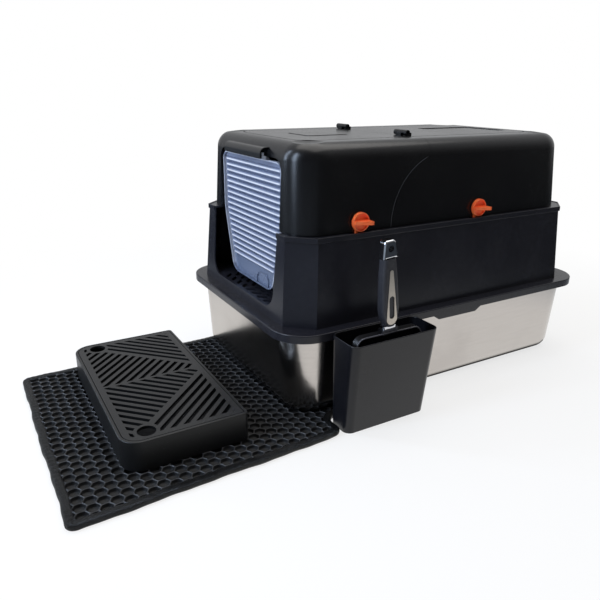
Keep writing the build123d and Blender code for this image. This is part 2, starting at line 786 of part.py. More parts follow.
# Flap: a dished clear sheet with ribs across it, hung from an axle
def flap_outline(inset):
    """Outline of the flap, moved in by inset."""
    half, base = flap_width / 2, flap_base_width / 2
    with BuildSketch(front_plane(flap_face_y)) as outline:
        Polygon(
            (-half, flap_top_z),
            (-half, flap_top_z - flap_straight),
            (-base, flap_base_z),
            (base, flap_base_z),
            (half, flap_top_z - flap_straight),
            (half, flap_top_z),
            align=None,
        )
        fillet(outline.vertices().group_by(Axis.Y)[1], radius=flap_side_round)
        fillet(outline.vertices().group_by(Axis.Y)[0], radius=flap_base_corner)
        fillet(outline.vertices().group_by(Axis.Y)[-1], radius=flap_top_corner)
        if inset > 0:
            offset(amount=-inset)
    return outline.sketch


def flap_half_width(z):
    """Half the flap's width at a height, corners left out."""
    drop = max(0, flap_top_z - flap_straight - z) / (flap_height - flap_straight)
    return (flap_width + drop * (flap_base_width - flap_width)) / 2


panel_face_y = flap_face_y + flap_dish - flap_sheet

with BuildPart() as door_flap:
    extrude(flap_outline(0), amount=-flap_dish)
    extrude(flap_outline(flap_sheet), amount=-(flap_dish - flap_sheet), mode=Mode.SUBTRACT)
    for number in range(rib_count):
        rib_z = flap_top_z - rib_first - number * rib_pitch
        rib_half = flap_half_width(rib_z) - rib_margin
        with BuildSketch(side_plane(-rib_half)):
            with Locations((panel_face_y, rib_z)):
                Circle(rib_radius)
                with Locations((rib_radius, 0)):
                    Rectangle(2 * rib_radius, 2 * rib_radius, mode=Mode.SUBTRACT)
        extrude(amount=2 * rib_half)
    with BuildSketch(front_plane(panel_face_y)):
        with Locations((pull_offset, flap_base_z + flap_sheet / 2)):
            rounded(pull_width, 2 * pull_height, pull_corner, 0)
            rounded(pull_width, 2 * pull_height, pull_corner, pull_wire, Mode.SUBTRACT)
            with Locations((0, pull_height / 2)):
                Rectangle(pull_width, pull_height, mode=Mode.INTERSECT)
    extrude(amount=rib_radius)
    for side in (1, -1):
        with BuildSketch(side_plane(side * (lug_spacing - lug_length) / 2)):
            with Locations((axle_y, axle_z)):
                Circle(lug_depth / 2)
            with Locations((axle_y, (axle_z + flap_top_z - flap_sheet) / 2)):
                Rectangle(lug_depth, axle_z - flap_top_z + flap_sheet)
            with Locations((axle_y, axle_z)):
                Circle(axle / 2 + bore_gap, mode=Mode.SUBTRACT)
        extrude(amount=side * lug_length)
finish(door_flap, "door_flap")

with BuildPart() as flap_axle:
    with BuildSketch(side_plane(-axle_length / 2)):
        with Locations((axle_y, axle_z)):
            Circle(axle / 2)
    extrude(amount=axle_length)
finish(flap_axle, "flap_axle")


# Quarter-turn locks: a knob outside the hood and a cam inside, on one shaft
lock_places = {
    "right_front": (1, knob_front_y),
    "right_rear": (1, knob_rear_y),
    "left_front": (-1, knob_front_y),
    "left_rear": (-1, knob_rear_y),
}
for place, (side, lock_y) in lock_places.items():
    with BuildPart() as lock_knob:
        with BuildSketch(side_plane(side * knob_face_x)):
            with Locations((lock_y, knob_z)):
                Circle(knob / 2)
        extrude(amount=side * knob_disc)
        outward = Axis((0, 0, 0), (side, 0, 0))
        outer_face = lock_knob.faces().sort_by(outward)[-1]
        fillet(outer_face.edges(), radius=knob_edge_round)
        with BuildSketch(side_plane(side * (knob_face_x + knob_disc))):
            with Locations((lock_y, knob_z)):
                Circle(knob / 2 - knob_rim)
                Rectangle(knob, grip_fin_sheet + knob_rim, mode=Mode.SUBTRACT)
        extrude(amount=-side * knob_recess, mode=Mode.SUBTRACT)
        fin_root = knob_face_x + knob_disc / 2
        fin_foot = knob_face_x + knob_disc + grip_fin_foot
        fin_tip = knob_face_x + knob_disc + grip_fin_reach
        with BuildSketch(Plane.XY.offset(knob_z - grip_fin_sheet / 2)):
            Polygon(
                (side * fin_root, lock_y - grip_fin_run),
                (side * fin_foot, lock_y - grip_fin_run),
                (side * fin_tip, lock_y + grip_fin_run - grip_fin_land),
                (side * fin_tip, lock_y + grip_fin_run),
                (side * fin_root, lock_y + grip_fin_run),
                align=None,
            )
        extrude(amount=grip_fin_sheet)
        with BuildSketch(side_plane(side * knob_face_x)):
            tab_start = knob_z - lock_tab_start_share * knob
            tab_end = ledge_top - lock_tab_drop
            with Locations((lock_y - lock_tab_offset, (tab_start + tab_end) / 2)):
                Rectangle(lock_tab_width, tab_start - tab_end)
        extrude(amount=side * lock_tab_sheet)
        with BuildSketch(side_plane(side * (cam_face_x - cam_sheet))):
            with Locations((lock_y, knob_z)):
                Circle(lock_shaft / 2)
        extrude(amount=side * (knob_face_x + knob_disc / 2 - cam_face_x + cam_sheet))
    finish(lock_knob, "lock_knob_" + place)

    with BuildPart() as lock_cam:
        with BuildSketch(side_plane(side * cam_face_x)):
            with Locations((lock_y, knob_z)):
                Circle(cam_disc / 2)
            nose_length = knob_height + cam_nose_drop
            with Locations((lock_y, knob_z - nose_length / 2)):
                Rectangle(cam_nose_width, nose_length)
            with Locations((lock_y, knob_z)):
                Circle(lock_shaft / 2 + bore_gap, mode=Mode.SUBTRACT)
        extrude(amount=-side * cam_sheet)
    finish(lock_cam, "lock_cam_" + place)


# Scoop holder: a tapered open box that stands beside the pan
def holder_outline(share, inset):
    """Outline of the holder at a share of its height, moved in by inset."""
    width = holder_width - (1 - share) * holder_taper_x
    length = holder_length - (1 - share) * holder_taper_y
    with Locations((holder_face_x + width / 2, holder_centre_y)):
        rounded(width, length, holder_corner, inset)


with BuildPart() as scoop_holder:
    for share in (0, 1):
        with BuildSketch(Plane.XY.offset(share * holder_height)):
            holder_outline(share, 0)
    loft()
    for share in (0, 1):
        with BuildSketch(Plane.XY.offset(holder_wall + share * holder_height)):
            holder_outline(share, holder_wall)
    loft(mode=Mode.SUBTRACT)
    fillet(scoop_holder.faces().sort_by(Axis.Z)[-1].edges(), radius=holder_edge_round)
finish(scoop_holder, "scoop_holder")


# Scoop: a slotted head, a ferrule, a soft grip with a metal inlay, and an end cap on a steel tang
def head_plane(out):
    """Upright plane of the scoop's head, facing +X, moved out along X."""
    return Plane(origin=(scoop_x + out, scoop_centre_y, scoop_top), x_dir=(0, 1, 0), z_dir=(1, 0, 0))


def scoop_plane(out=0):
    """Plane of the leaning handle, facing +X, with sketch y along the handle, moved out along X."""
    return Plane(
        origin=(scoop_x + out, scoop_centre_y, scoop_top),
        x_dir=(0, math.cos(lean), math.sin(lean)),
        z_dir=(1, 0, 0),
    )


neck_top = scoop_neck_length
ferrule_top = neck_top + ferrule_length
grip_top = ferrule_top + grip_length
cap_top = grip_top + cap_length


def scoop_head_outline(inset):
    """Outline of the scoop's head, which hangs below the neck, on the plane of its open side."""
    with BuildSketch(head_plane(scoop_head_depth / 2)) as outline:
        with Locations((0, -scoop_head_length / 2)):
            Rectangle(scoop_width - 2 * inset, scoop_head_length - 2 * inset)
        fillet(outline.vertices().group_by(Axis.Y)[-1], radius=scoop_shoulder - inset)
        fillet(outline.vertices().group_by(Axis.Y)[0], radius=scoop_foot_corner - inset)
    return outline.sketch


def tang_section(start, gap):
    """Round section across the handle at start, as wide as the tang and the gap round it."""
    middle = scoop_plane()
    foot = middle.from_local_coords(Vector(0, start, 0))
    with BuildSketch(Plane(origin=foot, x_dir=(1, 0, 0), z_dir=middle.y_dir)) as section:
        Circle(tang / 2 + gap)
    return section.sketch


with BuildPart() as scoop_head:
    extrude(scoop_head_outline(0), amount=-scoop_head_depth)
    extrude(
        scoop_head_outline(scoop_head_wall),
        amount=scoop_head_wall - scoop_head_depth,
        mode=Mode.SUBTRACT,
    )
    fillet(scoop_head.faces().sort_by(Axis.X)[-1].edges(), radius=scoop_rim_round)
    with BuildSketch(head_plane(-scoop_head_depth / 2)):
        with Locations((0, -scoop_slot_drop)):
            with GridLocations(scoop_slot_pitch, scoop_slot_pitch, scoop_slot_count, 1):
                SlotOverall(scoop_slot_length, scoop_slot_width, rotation=90)
    extrude(amount=scoop_head_wall, mode=Mode.SUBTRACT)
    with BuildSketch(scoop_plane(-ferrule_thickness / 2)):
        with Locations((0, (neck_top - scoop_neck_root) / 2)):
            Rectangle(scoop_neck_width, neck_top + scoop_neck_root)
    extrude(amount=ferrule_thickness)
    tang_bore = tang_section(neck_top - tang_seat, bore_gap)
    extrude(tang_bore, amount=tang_seat + overrun, mode=Mode.SUBTRACT)
finish(scoop_head, "scoop_head")

with BuildPart() as scoop_ferrule:
    with BuildSketch(scoop_plane(-ferrule_thickness / 2)):
        with Locations((0, neck_top + ferrule_length / 2)):
            Rectangle(ferrule_width, ferrule_length)
    extrude(amount=ferrule_thickness)
    handle_axis = Axis((0, 0, 0), scoop_plane().y_dir)
    fillet(scoop_ferrule.edges().filter_by(handle_axis), radius=cap_edge_round)
    tang_bore = tang_section(neck_top - overrun, bore_gap)
    extrude(tang_bore, amount=ferrule_length + 2 * overrun, mode=Mode.SUBTRACT)
finish(scoop_ferrule, "scoop_ferrule")


def inlay_outline():
    """Teardrop on the grip's outer face, wide at the foot."""
    foot = ferrule_top + inlay_rise + inlay_width / 2
    tip = ferrule_top + inlay_rise + inlay_length - inlay_tip_width / 2
    with Locations((0, foot)):
        Circle(inlay_width / 2)
    with Locations((0, tip)):
        Circle(inlay_tip_width / 2)
    make_hull()


inlay_floor = grip_thickness / 2 - inlay_sheet + inlay_proud

with BuildPart() as scoop_grip:
    with BuildSketch(scoop_plane(-grip_thickness / 2)):
        with BuildLine():
            half, end, foot = grip_width / 2, grip_end_width / 2, grip_foot_width / 2
            widest = ferrule_top + grip_bulge
            Line((-foot, ferrule_top), (foot, ferrule_top))
            Line((end, grip_top), (-end, grip_top))
            for side in (1, -1):
                TangentArc((side * half, widest), (side * end, grip_top), tangent=(0, 1))
                TangentArc((side * half, widest), (side * foot, ferrule_top), tangent=(0, -1))
        make_face()
    extrude(amount=grip_thickness)
    long_edges = scoop_grip.edges().filter_by(GeomType.CIRCLE)
    fillet(long_edges, radius=grip_round)
    with BuildSketch(scoop_plane(inlay_floor)):
        inlay_outline()
    extrude(amount=inlay_sheet + overrun, mode=Mode.SUBTRACT)
    tang_bore = tang_section(ferrule_top - overrun, bore_gap)
    extrude(tang_bore, amount=grip_length + 2 * overrun, mode=Mode.SUBTRACT)
finish(scoop_grip, "scoop_grip")

with BuildPart() as scoop_inlay:
    with BuildSketch(scoop_plane(inlay_floor)):
        inlay_outline()
    extrude(amount=inlay_sheet)
    with BuildSketch(scoop_plane(inlay_floor)):
        with Locations((0, ferrule_top + inlay_rise + inlay_width / 2 + inlay_slot_length / 2)):
            SlotOverall(inlay_slot_length, inlay_slot_width, rotation=90)
    extrude(amount=inlay_sheet, mode=Mode.SUBTRACT)
finish(scoop_inlay, "scoop_inlay")

with BuildPart() as scoop_end_cap:
    with BuildSketch(scoop_plane(-cap_thickness / 2)) as cap_outline:
        Polygon(
            (-cap_width / 2, grip_top),
            (cap_width / 2, grip_top),
            (cap_end_width / 2, cap_top),
            (-cap_end_width / 2, cap_top),
            align=None,
        )
        fillet(cap_outline.vertices().group_by(Axis.Y)[-1], radius=cap_top_round)
    extrude(amount=cap_thickness)
    fillet(scoop_end_cap.faces().filter_by(Axis.X).edges(), radius=cap_edge_round)
    with BuildSketch(scoop_plane(-cap_thickness / 2 - overrun)):
        with Locations((0, cap_top - hang_hole_drop)):
            Circle(hang_hole / 2)
    extrude(amount=cap_thickness + 2 * overrun, mode=Mode.SUBTRACT)
    tang_bore = tang_section(grip_top - overrun, bore_gap)
    extrude(tang_bore, amount=tang_seat + overrun, mode=Mode.SUBTRACT)
finish(scoop_end_cap, "scoop_end_cap")

with BuildPart() as scoop_tang:
    extrude(tang_section(neck_top - tang_seat, 0), amount=grip_top - neck_top + 2 * tang_seat)
finish(scoop_tang, "scoop_tang")


# Entry step: a hollow base with a slotted top that lifts out
def step_outline(z, inset, corner_outer, corner_inner):
    """Outline of the step, rounder towards the front than towards the pan, moved in by inset."""
    with BuildSketch(Plane.XY.offset(z)) as outline:
        with Locations((step_centre_x, step_centre_y)):
            Rectangle(step_width - 2 * inset, step_length - 2 * inset)
        fillet(outline.vertices().group_by(Axis.Y)[0], radius=corner_outer - inset)
        fillet(outline.vertices().group_by(Axis.Y)[-1], radius=corner_inner)
    return outline.sketch


step_ledge_z = step_top - step_grille_sheet
step_floor_z = mat_thickness + step_floor
step_ledge_foot = step_ledge_z - step_ledge_sheet
step_room_corner = step_inner_corner / 2

with BuildPart() as step_base:
    extrude(step_outline(mat_thickness, 0, step_outer_corner, step_inner_corner), amount=step_height)
    fillet(step_base.faces().sort_by(Axis.Z)[-1].edges(), radius=step_edge_round)
    room = step_outline(step_floor_z, step_wall, step_outer_corner, step_room_corner)
    extrude(room, amount=step_ledge_foot - step_floor_z, mode=Mode.SUBTRACT)
    mouth_inset = step_rim_wall + step_ledge
    mouth = step_outline(step_floor_z, mouth_inset, step_outer_corner, step_room_corner)
    extrude(mouth, amount=step_height, mode=Mode.SUBTRACT)
    seat = step_outline(step_ledge_z, step_rim_wall, step_outer_corner, step_room_corner)
    extrude(seat, amount=step_grille_sheet + overrun, mode=Mode.SUBTRACT)
finish(step_base, "step_base")

plate_inset = step_rim_wall + step_grille_gap
slots_x = step_width / 2 - plate_inset - step_border
slots_y = step_length / 2 - plate_inset - step_border
apex_y = slots_y + step_apex_rise
rib_shift = step_rib / math.sqrt(2)
slot_shift = step_slot / math.sqrt(2)
slot_step = step_slot_pitch * math.sqrt(2)


def slanted_slots(zone, side, first, count):
    """Cut slots at 45 degrees, which meet the step's cross line at first and on, inside a zone."""
    with BuildSketch(Plane.XY.offset(step_ledge_z)) as slots:
        with Locations((step_centre_x, step_centre_y)):
            for number in range(count):
                with Locations((first - side * number * slot_step, 0)):
                    Rectangle(2 * step_width, step_slot, rotation=side * 45)
            Polygon(*zone, align=None, mode=Mode.INTERSECT)
    extrude(slots.sketch, amount=step_grille_sheet, mode=Mode.SUBTRACT)


def finger_rings(radius):
    """Circles about the two finger holes."""
    with BuildSketch(Plane.XY.offset(step_ledge_z)) as rings:
        with Locations((step_centre_x, step_centre_y - step_length / 2 + finger_hole_inset_y)):
            with GridLocations(step_width - 2 * finger_hole_inset_x, step_length, 2, 1):
                Circle(radius)
    return rings.sketch


with BuildPart() as step_grille:
    plate = step_outline(step_ledge_z, plate_inset, step_outer_corner, step_room_corner)
    extrude(plate, amount=step_grille_sheet)
    side_low = slots_y - step_side_zone
    side_count = math.ceil((slots_x + slots_y - apex_y) / slot_step)
    middle_count = math.ceil((apex_y + 3 * slots_y) / slot_step)
    for side in (1, -1):
        side_zone = [
            (-side * slots_x, slots_y),
            (-side * slots_x, side_low),
            (-side * (apex_y - side_low + rib_shift), side_low),
            (-side * (apex_y - slots_y + rib_shift), slots_y),
        ]
        slanted_slots(side_zone, side, -side * (apex_y + rib_shift + slot_shift), side_count)
        middle_zone = [
            (-side * step_mid_rib / 2, slots_y),
            (-side * (apex_y - slots_y - rib_shift), slots_y),
            (-side * (apex_y + slots_y - rib_shift), -slots_y),
            (-side * step_mid_rib / 2, -slots_y),
        ]
        slanted_slots(middle_zone, -side, -side * (apex_y + 2 * slots_y), middle_count)
    extrude(finger_rings(finger_hole / 2 + finger_hole_land), amount=step_grille_sheet)
    extrude(finger_rings(finger_hole / 2), amount=step_grille_sheet, mode=Mode.SUBTRACT)
finish(step_grille, "step_grille")


# Mat: a plain base layer, a honeycomb layer on it and a sewn binding round the edge
turn = math.radians(mat_turn)


def mat_plane(z):
    """Level plane that is turned as the mat lies."""
    return Plane(origin=(mat_centre_x, mat_centre_y, z), x_dir=(math.cos(turn), math.sin(turn), 0))


def mat_sheet(inset, mode=Mode.ADD):
    """Outline of the mat, with one front corner drawn out, moved in by inset."""
    half_x, half_y = mat_width / 2, mat_length / 2
    with BuildSketch(Plane.XY) as outline:
        Polygon(
            (-half_x, -half_y),
            (half_x, -half_y - mat_pull),
            (half_x, half_y),
            (-half_x, half_y),
            align=None,
        )
        fillet(outline.vertices(), radius=mat_corner)
        if inset > 0:
            offset(amount=-inset)
    add(outline.sketch, mode=mode)


def pan_clearance():
    """Room for the pan, whose rounded foot stands over the mat's cut edge."""
    foot_drop = pan_base_round - mat_thickness - binding_proud
    foot_inset = pan_base_round - math.sqrt(pan_base_round**2 - foot_drop**2)
    lean_out = pan_draft * pan_base_round / pan_depth
    with BuildSketch(Plane.XY.offset(-overrun)) as footprint:
        rounded(pan_width, pan_length, pan_corner, pan_draft + foot_inset - lean_out - mat_pan_gap)
    extrude(footprint.sketch, amount=mat_thickness + 2 * overrun, mode=Mode.SUBTRACT)


def cell_centres():
    """Centres of the honeycomb's cells, row by row, clear of the binding and the pan."""
    row_step = mat_cell * math.sqrt(3) / 2
    reach_x = mat_width / 2 - binding_width - mat_cell / 2
    reach_y = mat_length / 2 - binding_width - mat_cell / 2
    rows = int(reach_y / row_step)
    columns = int(reach_x / mat_cell)
    centres = []
    for row in range(-rows, rows + 1):
        for column in range(-columns, columns + 1):
            x = (column + (row % 2) / 2) * mat_cell
            y = row * row_step
            world_x = mat_centre_x + x * math.cos(turn) - y * math.sin(turn)
            world_y = mat_centre_y + x * math.sin(turn) + y * math.cos(turn)
            beside_pan = world_x > pan_width / 2 + mat_cell / 2
            before_pan = world_y < -pan_length / 2 - mat_cell / 2
            if abs(x) <= reach_x and (beside_pan or before_pan):
                centres.append((x, y))
    return centres


with BuildPart() as mat_base:
    with BuildSketch(mat_plane(0)):
        mat_sheet(binding_width)
    extrude(amount=mat_base_sheet)
    pan_clearance()
finish(mat_base, "mat_base")

with BuildPart() as mat_honeycomb:
    with BuildSketch(mat_plane(mat_base_sheet)):
        mat_sheet(binding_width)
        with Locations(*cell_centres()):
            RegularPolygon((mat_cell - mat_cell_wall) / math.sqrt(3), 6, rotation=30, mode=Mode.SUBTRACT)
    extrude(amount=mat_thickness - mat_base_sheet)
    pan_clearance()
finish(mat_honeycomb, "mat_honeycomb")

with BuildPart() as mat_binding:
    with BuildSketch(mat_plane(0)):
        mat_sheet(0)
        mat_sheet(binding_width, Mode.SUBTRACT)
    extrude(amount=mat_thickness + binding_proud)
    pan_clearance()
finish(mat_binding, "mat_binding")
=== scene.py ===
import bpy
import math
import numpy as np
from mathutils import Matrix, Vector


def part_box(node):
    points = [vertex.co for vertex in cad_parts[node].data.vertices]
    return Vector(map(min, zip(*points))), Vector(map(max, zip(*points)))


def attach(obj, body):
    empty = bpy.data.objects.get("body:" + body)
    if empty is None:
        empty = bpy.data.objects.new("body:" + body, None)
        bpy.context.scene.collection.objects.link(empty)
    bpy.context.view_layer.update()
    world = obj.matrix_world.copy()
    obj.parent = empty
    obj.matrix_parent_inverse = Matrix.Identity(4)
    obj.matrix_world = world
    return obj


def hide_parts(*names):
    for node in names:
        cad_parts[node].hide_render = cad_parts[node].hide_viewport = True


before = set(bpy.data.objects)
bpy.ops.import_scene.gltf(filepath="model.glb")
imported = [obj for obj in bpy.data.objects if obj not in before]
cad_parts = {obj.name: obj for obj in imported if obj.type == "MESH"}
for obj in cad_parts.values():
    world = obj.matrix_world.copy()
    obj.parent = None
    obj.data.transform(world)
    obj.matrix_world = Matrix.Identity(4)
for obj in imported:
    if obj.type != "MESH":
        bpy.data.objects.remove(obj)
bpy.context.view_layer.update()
scene = bpy.context.scene
mm = 0.001

# Camera: pinhole fit of the photograph, in pixels, metres and degrees, with the sensor in millimetres
picture_px = 600
focal_px = 586.0
sensor_width = 36.0
camera_place = (0.8238, -0.6562, 0.4617)
camera_azimuth = 59.82
camera_elevation = 19.95
camera_roll = 0.54

# Mat as it lies, in millimetres and degrees
mat_width = 402.0
mat_length = 362.0
mat_turn = 2.5
mat_centre = (46.0, -430.5)
mat_corner = 14.0
mat_corner_points = 12
mat_pull = 14.0
mat_floor = 2.6
mat_top = 8.0

# Rear part of the mat, beside the notch for the holder: how far it runs on past the rear edge, where its right
# side is across the mat, and the round between the two
mat_tongue = 60.0
mat_notch = 157.0
mat_notch_round = 17.0

# Mat's edge tape, in millimetres. A wave is its height, its run and where it starts.
binding_width = 12.0
binding_top = 8.8
binding_inset = 0.6
binding_pan_gap = 0.6
binding_points = 1400
binding_sides = 20
binding_powers = (0.7, 0.6)
sway_waves = [(1.5, 38.0, 0.0), (1.2, 13.0, 2.0), (0.6, 5.3, 0.0)]
pucker_height = 0.35
pucker_run = 1.45
pucker_swell_run = 23.0
ripple_run = 17.0
ripple_start = 1.2

# Mat's comb, in millimetres. Rows and columns are counted from the mat's middle, enough to cover it.
cell_pitch = 15.6
cell_wall = 1.7
cell_sides = 18
cell_circle = 1.05
cell_rows = (-15, 19)
cell_columns = (-14, 15)
rim_drop = 0.35
rim_crown = 0.55
rim_lip = 0.12
lip_depth = 1.1
wall_lean = 0.1
floor_round = 0.7
floor_dish = 0.1
comb_inset = 5.0
comb_under_pan = 1.3 * cell_pitch
sag_depth = 0.2
sag_run = (41.0, 53.0)
sag_start = 0.7
sag_above = 4.0

# Pan's foot, in millimetres
pan_half_width = 173.4
pan_half_length = 281.4
pan_plan_corner = 39.4
pan_foot_round = 23.0
pan_foot_inset = 4.9
pan_foot_low = 0.6

# Hood seam on the long sides, in millimetres: centre of its arc (y, z), its radius, and where the painted
# highlight along it fades along x, y and z
seam_centre = (-11.0, 269.0)
seam_radius = 105.0
seam_side_fade = (140.0, 146.0)
seam_rear_fade = (-49.0, -46.0)
seam_top_fade = (366.0, 368.0)

# Flap, in millimetres
flap_half = 101.0
flap_foot_half = 70.5
flap_top = 363.5
flap_bend = 270.0
flap_foot = 168.0
flap_ribs = 18
flap_rib_top = 351.2
flap_rib_pitch = 9.0


class Wire:
    """A shader socket in a Python sum: each operator adds one Math node."""

    def __init__(self, finish, node, out):
        self.finish, self.node, self.socket = finish, node, node.outputs[out]

    def __getitem__(self, out):
        return Wire(self.finish, self.node, out)

    def _sum(self, operation, *terms):
        return self.finish.node("ShaderNodeMath", {"operation": operation}, dict(enumerate(terms)))

    def __add__(self, other):
        return self._sum("ADD", self, other)

    def __radd__(self, other):
        return self._sum("ADD", other, self)

    def __sub__(self, other):
        return self._sum("SUBTRACT", self, other)

    def __rsub__(self, other):
        return self._sum("SUBTRACT", other, self)

    def __mul__(self, other):
        return self._sum("MULTIPLY", self, other)

    def __rmul__(self, other):
        return self._sum("MULTIPLY", other, self)

    def __truediv__(self, other):
        return self._sum("DIVIDE", self, other)

    def __pow__(self, other):
        return self._sum("POWER", self, other)

    def __mod__(self, other):
        return self._sum("FLOORED_MODULO", self, other)

    def __abs__(self):
        return self._sum("ABSOLUTE", self)

    def least(self, other):
        return self._sum("MINIMUM", self, other)

    def most(self, other):
        return self._sum("MAXIMUM", self, other)

    def step(self, low, high):
        """Smooth step from 0 at low to 1 at high."""
        settings = {"interpolation_type": "SMOOTHSTEP"}
        return self.finish.node("ShaderNodeMapRange", settings, {0: self, 1: low, 2: high})


class Finish:
    """One procedural material, or the world. node() makes any node: settings first, then values or
    links of its sockets."""

    def __init__(self, name, world=False):
        self.block = (bpy.data.worlds if world else bpy.data.materials).new(name)
        self.block.use_nodes = True
        self.tree = self.block.node_tree
        self.tree.nodes.clear()
        self.end = self.tree.nodes.new("ShaderNodeOutputWorld" if world else "ShaderNodeOutputMaterial")

    def node(self, kind, settings=None, inputs=None, out=0):
        node = self.tree.nodes.new(kind)
        for key, value in (settings or {}).items():
            setattr(node, key, value)
        for key, value in (inputs or {}).items():
            socket = node.inputs[key]
            if isinstance(value, Wire):
                self.tree.links.new(value.socket, socket)
            else:
                socket.default_value = value
        return Wire(self, node, out)

    def place(self):
        """Object coordinates, in millimetres, as three wires."""
        whole = self.node("ShaderNodeTexCoord", out="Object")
        scaled = self.node("ShaderNodeVectorMath", {"operation": "SCALE"}, {0: whole, "Scale": 1 / mm})
        parts = self.node("ShaderNodeSeparateXYZ", None, {0: scaled})
        return parts["X"], parts["Y"], parts["Z"]

    def vector(self, x, y, z):
        return self.node("ShaderNodeCombineXYZ", None, {0: x, 1: y, 2: z})

    def noise(self, vector, scale, detail=3.0, rough=0.55):
        inputs = {"Vector": vector, "Scale": scale, "Detail": detail, "Roughness": rough}
        return self.node("ShaderNodeTexNoise", None, inputs)

    def mix(self, share, first, second):
        """Colour between two colours."""
        inputs = {0: share, 6: first, 7: second}
        return self.node("ShaderNodeMix", {"data_type": "RGBA"}, inputs, out=2)

    def bump(self, height, distance, strength=1.0):
        inputs = {"Height": height, "Distance": distance, "Strength": strength}
        return self.node("ShaderNodeBump", None, inputs)

    def show(self, shader):
        """Puts a shader on the surface and gives the finished material or world."""
        self.tree.links.new(shader.socket, self.end.inputs["Surface"])
        return self.block

    def surface(self, **inputs):
        """Principled surface, shown; names use _ for blanks."""
        sockets = {key.replace("_", " "): value for key, value in inputs.items()}
        return self.show(self.node("ShaderNodeBsdfPrincipled", None, sockets))


def rgb(*levels):
    """Linear colour of the red, green and blue levels of an 8-bit display colour."""
    shares = [level / 255 for level in levels]
    return tuple(((s + 0.055) / 1.055) ** 2.4 if s > 0.04045 else s / 12.92 for s in shares) + (1.0,)


def dusted(f, where, colour):
    """Colour with scattered fine dust on it."""
    dust = f.noise(where, scale=0.55, detail=1.0, rough=0.4).step(0.755, 0.80)
    return f.mix(dust * 0.35, colour, rgb(110, 109, 107))


def moulded_plastic(name, dark, light, rough, grain, depth):
    """Moulded plastic: slow tone changes, scattered fine dust, an eroded-tool grain and uneven
    gloss."""
    f = Finish(name)
    where = f.vector(*f.place())
    slow = f.noise(where, scale=0.012)
    fine = f.noise(where, scale=grain, detail=2.0)
    colour = dusted(f, where, f.mix(slow.step(0.3, 0.7), dark, light))
    gloss = rough + 0.10 * (slow - 0.5) + 0.10 * (fine - 0.5)
    relief = f.bump(fine, depth)
    return f.surface(Base_Color=colour, Roughness=gloss, Normal=relief, IOR=1.46, Specular_IOR_Level=0.42)


def hood_plastic(name):
    """The hood's matt black: slow tone changes and dust as on the other plastic, and a pale painted highlight
    along the seam's arc, where the distance from the arc's centre is just over its radius, on the two
    long sides alone."""
    f = Finish(name)
    x, y, z = f.place()
    where = f.vector(x, y, z)
    slow = f.noise(where, scale=0.012)
    fine = f.noise(where, scale=1.8, detail=2.0)
    across, up = y - seam_centre[0], z - seam_centre[1]
    off = (across * across + up * up) ** 0.5 - seam_radius
    # Painted highlight: a pale line along the seam's arc, standing in for light caught on the seam's edge.
    painted_highlight = off.step(0.2, 0.6) * (1.0 - off.step(1.1, 1.7)) * abs(x).step(*seam_side_fade)
    painted_highlight = painted_highlight * (1.0 - y.step(*seam_rear_fade)) * (1.0 - z.step(*seam_top_fade))
    colour = dusted(f, where, f.mix(slow.step(0.3, 0.7), rgb(14, 14, 16), rgb(18, 18, 19)))
    colour = f.mix(painted_highlight * 0.5, colour, rgb(96, 98, 104))
    gloss = 0.25 + 0.08 * (slow - 0.5) + 0.08 * (fine - 0.5)
    relief = f.bump(fine, 0.00004)
    return f.surface(Base_Color=colour, Roughness=gloss, Normal=relief, IOR=1.46, Specular_IOR_Level=0.45)


def scoop_plastic(name):
    """The scoop head's black plastic, with a pale painted highlight along its open rim, which is where x is
    greatest.
    """
    f = Finish(name)
    x, y, z = f.place()
    where = f.vector(x, y, z)
    slow = f.noise(where, scale=0.02)
    fine = f.noise(where, scale=2.4, detail=2.0)
    rim_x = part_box("scoop_head")[1][0] / mm
    # Painted highlight: a patchy pale band along the open rim, standing in for light caught on the rim's edge.
    painted_highlight = x.step(rim_x - 1.3, rim_x - 0.5) * slow.step(0.2, 0.6)
    colour = f.mix(slow.step(0.3, 0.7), rgb(15, 15, 17), rgb(20, 20, 22))
    colour = f.mix(painted_highlight * 0.8, colour, rgb(118, 118, 126))
    return f.surface(Base_Color=colour, Roughness=0.36 + 0.1 * (fine - 0.5), Normal=f.bump(fine, 0.00003))


def brushed_steel(name):
    """Drawn and brushed sheet: fine level scratches, a soft cloud of wear and faint smears."""
    f = Finish(name)
    x, y, z = f.place()
    streak = f.noise(f.vector(x * 0.02, y * 0.02, z * 3.0), scale=1.0, detail=4.0, rough=0.7)
    hair = f.noise(f.vector(x * 0.05, y * 0.05, z * 9.0), scale=1.0, detail=2.0, rough=0.6)
    cloud = f.noise(f.vector(x, y, z), scale=0.009)
    colour = f.mix(streak.step(0.3, 0.7), rgb(188, 183, 178), rgb(197, 192, 187))
    colour = f.mix(cloud.step(0.45, 0.75) * 0.35, colour, rgb(172, 166, 161))
    gloss = 0.21 + 0.06 * (streak - 0.5) + 0.08 * (cloud - 0.5)
    relief = f.bump(streak * 0.6 + hair * 0.4, 0.000006, strength=0.5)
    return f.surface(Base_Color=colour, Metallic=1.0, Roughness=gloss, Normal=relief, Anisotropic=0.3)


def polished_metal(name, colour, rough):
    """Plated metal with faint swirls."""
    f = Finish(name)
    swirl = f.noise(f.vector(*f.place()), scale=0.3)
    dull = tuple(c * 0.92 for c in colour[:3]) + (1.0,)
    tone = f.mix(swirl.step(0.3, 0.7), colour, dull)
    return f.surface(Base_Color=tone, Metallic=1.0, Roughness=rough + 0.05 * (swirl - 0.5))


def orange_plastic(name):
    """Glossy moulded orange with slow tone changes and a light grain."""
    f = Finish(name)
    where = f.vector(*f.place())
    slow = f.noise(where, scale=0.08, detail=2.0)
    grain = f.noise(where, scale=3.0, detail=2.0)
    colour = f.mix(slow.step(0.3, 0.7), rgb(255, 100, 44), rgb(255, 122, 64))
    relief = f.bump(grain, 0.00002, strength=0.5)
    return f.surface(Base_Color=colour, Roughness=0.36 + 0.08 * (grain - 0.5), Normal=relief)


